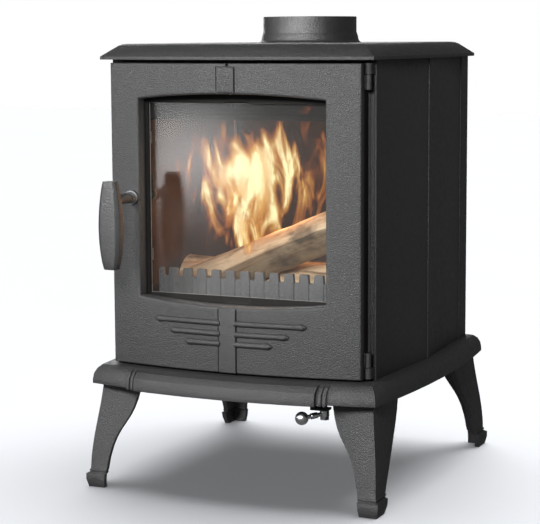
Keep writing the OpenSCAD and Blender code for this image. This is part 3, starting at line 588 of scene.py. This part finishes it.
def model_door():
    at = DoorPlaces()
    middle_z = (at.bottom + at.top) / 2
    height = at.top - at.bottom
    nothing_selected()
    bpy.ops.mesh.primitive_plane_add(
        size=1.0, location=(0.0, at.edge, middle_z), rotation=(math.radians(90.0), 0.0, 0.0)
    )
    bpy.context.object.scale = (2 * at.half, height, 1.0)
    door = settle("door_casting")

    half_columns = [13.2 * MM, 13.9 * MM, 14.3 * MM, 15.3 * MM, 16.1 * MM]
    half_columns += even(16.1 * MM, at.window_half, 18)[1:]
    half_columns += even(at.window_half, at.half, 8)[1:-1]
    cut_across(0, [-x for x in half_columns[::-1]] + [0.0, 0.7 * MM] + half_columns)
    rows = [at.window_low - ARCH - 6 * MM, at.window_low, at.window_high, at.window_high + ARCH + 6 * MM]
    rows += [at.top - up * MM for up in (6.1, 5.5, 4.8, 4.4)]
    cut_across(2, rows)

    def in_window(middle, spare=0.0):
        return (
            abs(middle.x) < at.window_half + spare
            and at.window_low - spare < middle.z < at.window_high + spare
        )

    pick(door, "FACE", lambda face, middle: in_window(middle))
    bpy.ops.mesh.delete(type="FACE")
    across_window = [side * x for x in half_columns if x < at.window_half - TINY for side in (-1, 1)]
    for x in [0.0, 0.7 * MM] + across_window:
        rise = ARCH * (1.0 - (x / at.window_half) ** 2)
        for z, way in ((at.window_high, 1.0), (at.window_low, -1.0)):
            pick(door, "VERT", lambda vert, middle: abs(middle.x - x) < TINY and abs(middle.z - z) < TINY)
            push(z=way * rise)
    columns(door, at.bow)
    mesh = bmesh.from_edit_mesh(door.data)
    raised = sorted({
        (round(v.co.x, 6), round(v.co.z, 6)) for v in mesh.verts if abs(v.co.x) < 16.05 * MM
    })
    for x, z in raised:
        depth = at.relief(x, z)
        if depth:
            pick(
                door, "VERT",
                lambda vert, middle: abs(middle.x - x) < TINY / 2 and abs(middle.z - z) < TINY / 2,
            )
            push(y=depth)

    # the reveal, the flange that the glass bears on, and the flange's back
    pick(door, "EDGE", lambda edge, middle: edge.is_boundary and in_window(middle, ARCH + TINY))
    draw_on()
    flatten(1, at.flange)
    draw_on()
    rim_x = at.window_half - 5 * MM
    rim_low, rim_high = at.window_low + 2 * MM, at.window_high - 6 * MM
    for test, axis, place in (
        (lambda vert, middle: middle.z > at.window_high - TINY, 2, rim_high),
        (lambda vert, middle: middle.z < at.window_low + TINY, 2, rim_low),
        (lambda vert, middle: middle.x > at.window_half - TINY, 0, rim_x),
        (lambda vert, middle: middle.x < -at.window_half + TINY, 0, -rim_x),
    ):
        wanted = hold_picked(door)
        pick_only(door, wanted, test)
        flatten(axis, place)
        pick_indices(door, wanted)
    draw_on()
    push(y=4 * MM)

    # the sides, the back lip, the channel of the rope seal and the plane behind
    pick(door, "EDGE", lambda edge, middle: edge.is_boundary and not in_window(middle, ARCH + TINY))
    inset_before = 0.0
    lip, field = 8.2 * MM, 22.0 * MM
    channel = at.back - SEAL_CHANNEL
    for inset, plane in (
        (0.0, at.back), (lip, at.back), (lip, channel), (field, channel), (field, at.flange + 4 * MM),
    ):
        draw_on()
        flatten(1, plane)
        if inset != inset_before:
            share_x = (at.half - inset) / (at.half - inset_before)
            share_z = (height / 2 - inset) / (height / 2 - inset_before)
            grow(share_x, 1.0, share_z, (0.0, 0.0, middle_z))
            inset_before = inset
    pick(door, "EDGE", lambda edge, middle: edge.is_boundary)
    bpy.ops.mesh.bridge_edge_loops()
    bpy.ops.mesh.select_all(action="SELECT")
    bpy.ops.mesh.normals_make_consistent(inside=False)

    # rounded front edges, outside and round the window
    def on_outline(co):
        at_side = abs(abs(co.x) - at.half) < TINY
        return at_side or abs(co.z - at.top) < TINY or abs(co.z - at.bottom) < TINY

    def front_edge(edge, middle, in_opening):
        ends = [vert.co for vert in edge.verts]
        if max(co.y for co in ends) > at.edge + 1 * MM and abs(middle.x) > 16.2 * MM:
            return False
        outside = all(on_outline(co) for co in ends)
        reveal = [abs(face.normal.y) < 0.3 for face in edge.link_faces]
        ahead = [face.normal.y < -0.3 for face in edge.link_faces]
        wanted = in_window(middle, ARCH + TINY) if in_opening else outside
        return any(reveal) and any(ahead) and wanted

    for in_opening, rounding in ((False, OUTER_ROUNDING), (True, WINDOW_ROUNDING)):
        pick(door, "EDGE", lambda edge, middle: front_edge(edge, middle, in_opening))
        bpy.ops.mesh.bevel(offset=rounding, segments=4, affect="EDGES", clamp_overlap=False)
    close_up(door)

    pieces = [door]
    for side in (-1, 1):
        for height_up, reach in RIBS:
            pieces.append(door_rib(at, side, height_up, reach))
    hinge_y = (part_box("hinge_pin_upper")[0].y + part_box("hinge_pin_upper")[1].y) / 2
    for foot in (at.bottom + KNUCKLE_UP, at.top - KNUCKLE_DOWN):
        pieces += door_knuckle(at.hinge_x, hinge_y, foot)
    shaft_low, shaft_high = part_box("handle_shaft")
    shaft_x, shaft_z = (shaft_low.x + shaft_high.x) / 2, (shaft_low.z + shaft_high.z) / 2
    face = at.edge + at.bow(shaft_x)
    pieces.append(turned(
        "shaft_boss", (shaft_x, 0.0, shaft_z),
        [(12.5 * MM, face + 3 * MM), (11.2 * MM, face - 0.6 * MM), (9.6 * MM, face - 2.2 * MM),
         (9.2 * MM, face - 5.2 * MM), (8.6 * MM, face - 5.9 * MM), (6.3 * MM, face - 5.9 * MM)],
        axis="Y", corners=40,
    ))
    door = join(pieces, "door_casting")
    smooth(door, 34.0)
    return door


def door_knuckle(x, y, foot):
    """A hinge knuckle with eased ends, and the web that joins it to the door's side."""
    barrel = turned("hinge_knuckle", (x, y, 0.0), [
        (KNUCKLE_RADIUS - KNUCKLE_EDGE, foot), (KNUCKLE_RADIUS, foot + KNUCKLE_EDGE),
        (KNUCKLE_RADIUS, foot + KNUCKLE_HIGH - KNUCKLE_EDGE),
        (KNUCKLE_RADIUS - KNUCKLE_EDGE, foot + KNUCKLE_HIGH),
    ], corners=32)
    nothing_selected()
    bpy.ops.mesh.primitive_cube_add(
        size=1.0, location=(x - 4 * MM, y, foot + KNUCKLE_HIGH / 2),
        scale=(8 * MM, 5.6 * MM, KNUCKLE_HIGH - 1 * MM),
    )
    web = settle("hinge_web")
    close_up(web)
    ease_edges(web, KNUCKLE_EDGE)
    return [barrel, web]


def hold_picked(piece):
    """The indices of the selected vertices, to come back to."""
    mesh = bmesh.from_edit_mesh(piece.data)
    return [vert.index for vert in mesh.verts if vert.select]


def pick_indices(piece, wanted):
    bpy.ops.mesh.select_mode(type="VERT")
    bpy.ops.mesh.select_all(action="DESELECT")
    mesh = bmesh.from_edit_mesh(piece.data)
    mesh.verts.ensure_lookup_table()
    for index in wanted:
        mesh.verts[index].select_set(True)
    mesh.select_flush_mode()
    bpy.ops.mesh.select_mode(type="EDGE")


def pick_only(piece, wanted, test):
    inside = set(wanted)
    pick(piece, "VERT", lambda vert, middle: vert.index in inside and test(vert, middle))


# ---------------------------------------------------------------- the back casting

RAISED_FRAME_HALF = 150 * MM
RAISED_FRAME_UP = 60 * MM
RAISED_FRAME_DOWN = 90 * MM
RAISED_FRAME_WIDE = 12 * MM
RAISED_FRAME_PROUD = 4 * MM


def model_back_panel():
    """The rear casting: a flat plate with a raised stiffening frame and a shallow field inside it."""
    low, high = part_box("back_panel")
    plate_back = high.y - RAISED_FRAME_PROUD
    nothing_selected()
    bpy.ops.mesh.primitive_cube_add(
        size=1.0, location=((low.x + high.x) / 2, (low.y + plate_back) / 2, (low.z + high.z) / 2),
        scale=(high.x - low.x, plate_back - low.y, high.z - low.z),
    )
    plate = settle("back_casting")
    field_half = RAISED_FRAME_HALF - RAISED_FRAME_WIDE
    cut_across(0, [-RAISED_FRAME_HALF, -field_half, field_half, RAISED_FRAME_HALF])
    frame_low, frame_high = low.z + RAISED_FRAME_UP, high.z - RAISED_FRAME_DOWN
    field_low, field_high = frame_low + RAISED_FRAME_WIDE, frame_high - RAISED_FRAME_WIDE
    cut_across(2, [frame_low, field_low, field_high, frame_high])

    def on_frame(face, middle):
        inside = abs(middle.x) < RAISED_FRAME_HALF and frame_low < middle.z < frame_high
        field = abs(middle.x) < field_half and field_low < middle.z < field_high
        return face.normal.y > 0.9 and inside and not field

    pick(plate, "FACE", on_frame)
    draw_on()
    push(y=RAISED_FRAME_PROUD)
    close_up(plate)
    ease_edges(plate, 1.6 * MM, segments=3)
    smooth(plate)
    return plate


# ---------------------------------------------------------------- the stove

BODY_OF = {n: b for b, ns in frame["record"]["behaviour"]["bodies"].items() for n in ns}
SLOT_OF = {s["node"]: s["material_slot"] for s in frame["record"]["subparts"]}
for node, cad_piece in frame["nodes"].items():
    dress(cad_piece, SLOT_OF[node])


add_piece(model_door(), "door_leaf", "cast_iron_painted", "door")
add_piece(model_back_panel(), "stove_body", "cast_iron_painted", "back_panel")

EASED = {
    "top_plate": 1.2, "base_plate": 1.2, "side_panel_left": 0.8, "side_panel_right": 0.8,
    "leg_front_left": 1.2, "leg_front_right": 1.2, "leg_rear_left": 1.2,
    "leg_rear_right": 1.2, "handle_grip": 1.6, "log_fence": 1.0, "flue_collar": 1.0,
}
for node, width in EASED.items():
    add_piece(eased_copy(node, width * MM), BODY_OF[node], SLOT_OF[node], node)

# two pieces whose finish differs from the rest of their slot; the door's has shade painted into its
# window recess
pane_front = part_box("door_glass")[0].y
bpy.data.objects["door_casting"].data.materials[0] = cast_iron(
    "door_iron", PAINT_DARK, PAINT_LIGHT, PAINT_SHEEN, shaded_behind=pane_front - 7 * MM
)
bpy.data.objects["log_fence_eased"].data.materials[0] = cast_iron(
    "ashy_iron", (0.10, 0.10, 0.105), (0.15, 0.15, 0.155), 0.6, specular=0.5
)


# ---------------------------------------------------------------- fire, which is not part of the stove

def math_node(material, operation, first, second=None, third=None):
    node = material.node_tree.nodes.new("ShaderNodeMath")
    node.operation = operation
    for socket, value in zip(node.inputs, (first, second, third)):
        if value is None:
            continue
        if isinstance(value, (int, float)):
            socket.default_value = value
        else:
            material.node_tree.links.new(value, socket)
    return node.outputs["Value"]


FLAME_FRINGE = (0.55, 0.07, 0.01, 1.0)
FLAME_RED = (1.0, 0.27, 0.06, 1.0)
FLAME_ORANGE = (1.0, 0.50, 0.12, 1.0)
FLAME_YELLOW = (1.0, 0.84, 0.44, 1.0)
FLAME_STREAKS = (25.0, 16.0, 9.0)


def flame_body(material, place, middle, foot, height, width, lean):
    """How deep a point is in the flame: a leaning fan, narrow at its foot and hottest at mid-height."""
    def work(operation, *values):
        return math_node(material, operation, *values)

    split = material.node_tree.nodes.new("ShaderNodeSeparateXYZ")
    material.node_tree.links.new(place, split.inputs["Vector"])
    wander = noise(material, place, 9.0, 2.0, 0.5, (1.0, 1.0, 0.8))
    curl = noise(material, place, 26.0, 3.0, 0.6, (1.0, 1.0, 0.55))
    rise = work("DIVIDE", work("SUBTRACT", split.outputs["Z"], foot), height)
    shift = work("MULTIPLY_ADD", wander, 0.20, -0.10)
    shift = work("MULTIPLY_ADD", curl, 0.07, shift)
    shift = work("MULTIPLY", shift, work("ADD", rise, 0.25))
    across = work("SUBTRACT", split.outputs["X"], middle)
    across = work("ADD", work("MULTIPLY_ADD", rise, -lean, across), shift)
    half_width = work("MULTIPLY", work("MAXIMUM", work("MULTIPLY_ADD", rise, 0.95, 0.28), 0.2), width)
    away = work("DIVIDE", work("ABSOLUTE", across), half_width)
    top = work("POWER", work("MAXIMUM", rise, 0.0), 5.0)
    body = work("SUBTRACT", work("SUBTRACT", 1.0, away), top)
    core = work("ABSOLUTE", work("SUBTRACT", rise, 0.6))
    core = work("MAXIMUM", work("MULTIPLY_ADD", core, -1.6, 0.32), 0.0)
    low_edge = spread(material, rise, -0.02, 0.12, -0.9, 0.0)
    return work("ADD", work("ADD", body, core), low_edge)


def flame_material(name, middle, foot, height, width, lean):
    """Tongues of flame on an upright sheet, breaking up towards their edges."""
    material, shader, place = node_material(name, (0.0, 0.0, 0.0), 1.0)
    tree = material.node_tree
    tree.nodes.remove(shader)
    body = flame_body(material, place, middle, foot, height, width, lean)
    tongue = tree.nodes.new("ShaderNodeTexNoise")
    tongue.inputs["Scale"].default_value = 1.0
    tongue.inputs["Detail"].default_value = 3.0
    tongue.inputs["Roughness"].default_value = 0.55
    tongue.inputs["Distortion"].default_value = 1.1
    stretch = tree.nodes.new("ShaderNodeMapping")
    stretch.inputs["Scale"].default_value = FLAME_STREAKS
    tree.links.new(place, stretch.inputs["Vector"])
    tree.links.new(stretch.outputs["Vector"], tongue.inputs["Vector"])
    licks = math_node(material, "MULTIPLY_ADD", tongue.outputs["Fac"], 3.9, -2.28)
    heat = math_node(material, "ADD", math_node(material, "MULTIPLY", body, 1.15), licks)
    heat = math_node(material, "MAXIMUM", heat, 0.0)
    ramp = tree.nodes.new("ShaderNodeValToRGB")
    ends = ramp.color_ramp.elements
    ends[0].position, ends[0].color = 0.0, FLAME_FRINGE
    ends[1].position, ends[1].color = 1.0, FLAME_YELLOW
    for position, colour in ((0.3, FLAME_RED), (0.68, FLAME_ORANGE)):
        ends.new(position).color = colour
    tree.links.new(heat, ramp.inputs["Fac"])
    glow = tree.nodes.new("ShaderNodeEmission")
    tree.links.new(ramp.outputs["Color"], glow.inputs["Color"])
    tree.links.new(spread(material, heat, 0.0, 1.25, 0.40, 1.7), glow.inputs["Strength"])
    clear = tree.nodes.new("ShaderNodeBsdfTransparent")
    mixed = tree.nodes.new("ShaderNodeMixShader")
    tree.links.new(spread(material, heat, 0.02, 1.0, 0.0, 0.92), mixed.inputs["Fac"])
    tree.links.new(clear.outputs["BSDF"], mixed.inputs[1])
    tree.links.new(glow.outputs["Emission"], mixed.inputs[2])
    tree.links.new(mixed.outputs["Shader"], tree.nodes["Material Output"].inputs["Surface"])
    return material


def split_wood(name, turn):
    """Pale split log: long fibres, darker streaks and scorched patches."""
    material, shader, place = node_material(name, (0.62, 0.44, 0.27), 0.75, specular=0.2)
    tree = material.node_tree
    mapping = tree.nodes.new("ShaderNodeMapping")
    mapping.inputs["Rotation"].default_value = turn
    tree.links.new(place, mapping.inputs["Vector"])
    fibre = noise(material, mapping.outputs["Vector"], 60.0, 4.0, 0.65, (0.12, 1.0, 1.0))
    char = noise(material, place, 14.0, 4.0, 0.6)
    streaks = spread(material, fibre, 0.35, 0.68, 0.0, 1.0)
    tone = blend_colours(material, streaks, (0.74, 0.56, 0.37), (0.36, 0.21, 0.11))
    scorch = spread(material, char, 0.5, 0.66, 0.0, 0.75)
    tone = blend_colours(material, scorch, tone, (0.06, 0.04, 0.03))
    tree.links.new(tone, shader.inputs["Base Color"])
    add_bump(material, shader, [(fibre, 0.7, 0.0016)])
    return material


def split_log(name, middle, length, thick, turn, seed):
    """A round billet split down its length: two flat faces and a rounded bark side."""
    nothing_selected()
    bpy.ops.mesh.primitive_cylinder_add(
        vertices=22, radius=thick, depth=length, end_fill_type="NGON",
        rotation=(0.0, math.radians(90.0), 0.0),
    )
    log = settle(name)
    for facing in ((0.0, 0.55, -0.84), (0.0, -0.80, -0.60)):
        bpy.ops.mesh.select_all(action="SELECT")
        bpy.ops.mesh.bisect(
            plane_co=(0.0, 0.0, -0.25 * thick), plane_no=facing, use_fill=True, clear_outer=True
        )
    cut_across(0, even(-length / 2, length / 2, 14)[1:-1])
    bpy.ops.mesh.select_all(action="SELECT")
    bpy.ops.transform.vertex_random(offset=0.0022, seed=seed)
    close_up(log)
    ease_edges(log, 1.5 * MM, degrees=40.0)
    smooth(log, 40.0)
    log.rotation_euler = turn
    log.location = middle
    only(log)
    bpy.ops.object.transform_apply(location=True, rotation=True, scale=True)
    log.data.materials.append(split_wood(name, tuple(-t for t in turn)))


def flame_sheet(name, at_y, middle, foot, height, width, lean):
    """An upright sheet, bent a little, that shows a flame and casts no shadow."""
    nothing_selected()
    bpy.ops.mesh.primitive_plane_add(
        size=1.0, location=(middle, at_y, foot + 0.5 * height), rotation=(math.radians(90.0), 0.0, 0.0)
    )
    bpy.context.object.scale = (0.33, 1.15 * height, 1.0)
    sheet = settle(name)
    bpy.ops.mesh.subdivide(number_cuts=6)
    columns(sheet, lambda x: 0.25 * (x - middle) ** 2)
    close_up(sheet)
    sheet.data.materials.append(flame_material(name, middle, foot, height, width, lean))
    sheet.visible_diffuse = False
    sheet.visible_shadow = False


# name; x, distance behind the fence and height over the grate; length, thickness; turn; seed
LOGS = (
    ("log_front", (0.005, 0.075, 0.078), 0.33, 0.050, (0.25, -0.40, 0.06), 3),
    ("log_low", (-0.02, 0.125, 0.034), 0.30, 0.046, (0.9, 0.02, 0.10), 5),
    ("log_right", (0.105, 0.080, 0.034), 0.12, 0.036, (-0.5, 0.05, 0.35), 8),
)
# name; distance behind the fence, x, height of the foot; height, width and lean of the flame
FLAMES = (
    ("flame_back", 0.150, -0.050, 0.06, 0.270, 0.205, 0.08),
    ("flame_middle", 0.100, -0.045, 0.08, 0.235, 0.120, 0.02),
    ("flame_front", 0.030, -0.015, 0.08, 0.19, 0.065, -0.02),
)


def light_the_fire():
    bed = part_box("fire_grate")[1].z
    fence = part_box("log_fence")[1].y
    for name, (x, behind, up), length, thick, turn, seed in LOGS:
        split_log(name, (x, fence + behind, bed + up), length, thick, turn, seed)
    for name, behind, x, up, height, width, lean in FLAMES:
        flame_sheet(name, fence + behind, x, bed + up, height, width, lean)
    ember = bpy.data.lights.new("ember_light", "POINT")
    ember.shadow_soft_size = 0.05
    ember.energy = 1.3
    ember.color = (1.0, 0.50, 0.24)
    lamp = bpy.data.objects.new("ember_light", ember)
    bpy.context.scene.collection.objects.link(lamp)
    lamp.location = (0.02, fence + 0.09, bed + 0.16)


# ---------------------------------------------------------------- floor and light

FLOOR_GREY = (0.44, 0.45, 0.47)
FLOOR_PALE = (0.46, 0.47, 0.49)


def lay_floor():
    nothing_selected()
    bpy.ops.mesh.primitive_plane_add(size=24.0, location=(0.0, 0.0, 0.0))
    floor = bpy.context.object
    floor.name = "studio_floor"
    material, shader, place = node_material("studio_floor", FLOOR_GREY, 0.6, specular=0.2)
    soft = noise(material, place, 1.5, 2.0, 0.5)
    tone = blend_colours(material, soft, FLOOR_GREY, FLOOR_PALE)
    material.node_tree.links.new(tone, shader.inputs["Base Color"])
    floor.data.materials.append(material)
    only(floor)
    bpy.ops.object.transform_apply(location=True, rotation=True, scale=True)
    nothing_selected()
    floor.visible_diffuse = False
    floor.visible_glossy = False
    return floor


def keep_off_floor(light):
    """The floor has its own light, so the stove's lamps leave it out."""
    left_out = bpy.data.collections.new(light.name + "_leaves_out")
    left_out.objects.link(floor)
    light.light_linking.receiver_collection = left_out
    left_out.collection_objects[0].light_linking.link_state = "EXCLUDE"


def soft_light(name, place, aim, size, power):
    data = bpy.data.lights.new(name, "AREA")
    data.shape = "RECTANGLE"
    data.size, data.size_y = size
    data.energy = power
    light = bpy.data.objects.new(name, data)
    bpy.context.scene.collection.objects.link(light)
    light.location = place
    light.rotation_euler = (Vector(aim) - Vector(place)).to_track_quat("-Z", "Y").to_euler()
    keep_off_floor(light)


def set_world(ambient):
    """A faint even light on everything, behind which the camera sees white."""
    world = bpy.data.worlds.new("studio")
    bpy.context.scene.world = world
    world.use_nodes = True
    tree = world.node_tree
    back = tree.nodes["Background"]
    back.inputs["Color"].default_value = (1.0, 1.0, 1.0, 1.0)
    path = tree.nodes.new("ShaderNodeLightPath")
    strength = tree.nodes.new("ShaderNodeMapRange")
    strength.inputs["To Min"].default_value = ambient
    strength.inputs["To Max"].default_value = 1.0
    tree.links.new(path.outputs["Is Camera Ray"], strength.inputs["Value"])
    tree.links.new(strength.outputs["Result"], back.inputs["Strength"])


def light_only(light, things):
    """Keeps a lamp's light to the named things."""
    lit = bpy.data.collections.new(light.name + "_lights")
    for thing in things:
        lit.objects.link(thing)
    light.light_linking.receiver_collection = lit


set_camera()
floor = lay_floor()
set_world(0.125)
# name; place; aim; width and height; watts
for lamp in (
    ("key", (0.48, -2.0, 1.15), (0.0, -0.1, 0.5), (0.40, 0.35), 36.0),
    ("second_key", (-0.70, -1.95, 1.18), (0.0, -0.1, 0.5), (0.45, 0.35), 43.0),
    ("left_fill", (-2.6, -1.2, 1.2), (0.0, 0.0, 0.4), (1.4, 1.4), 14.0),
    ("rear_fill", (-1.6, 2.8, 1.4), (0.0, 0.0, 0.4), (1.6, 1.6), 36.0),
    ("glass_sheen", (-1.50, -2.95, 0.30), (-0.1, -0.2, 0.5), (0.24, 0.26), 1.9),
):
    soft_light(*lamp)
# name; strength; spread and tilt in degrees; the second one only lifts the shadow
for name, power, spread_angle, tilt in (
    ("floor_light", 6.0, 66.0, -18.0),
    ("floor_lift", 0.95, 1.0, 0.0),
):
    sun = bpy.data.objects.new(name, bpy.data.lights.new(name, "SUN"))
    bpy.context.scene.collection.objects.link(sun)
    sun.data.energy = power
    sun.data.angle = math.radians(spread_angle)
    sun.rotation_euler = (math.radians(tilt), 0.0, 0.0)
    sun.data.use_shadow = name == "floor_light"
    light_only(sun, [floor])
light_the_fire()
bpy.context.scene.view_settings.view_transform = "Standard"
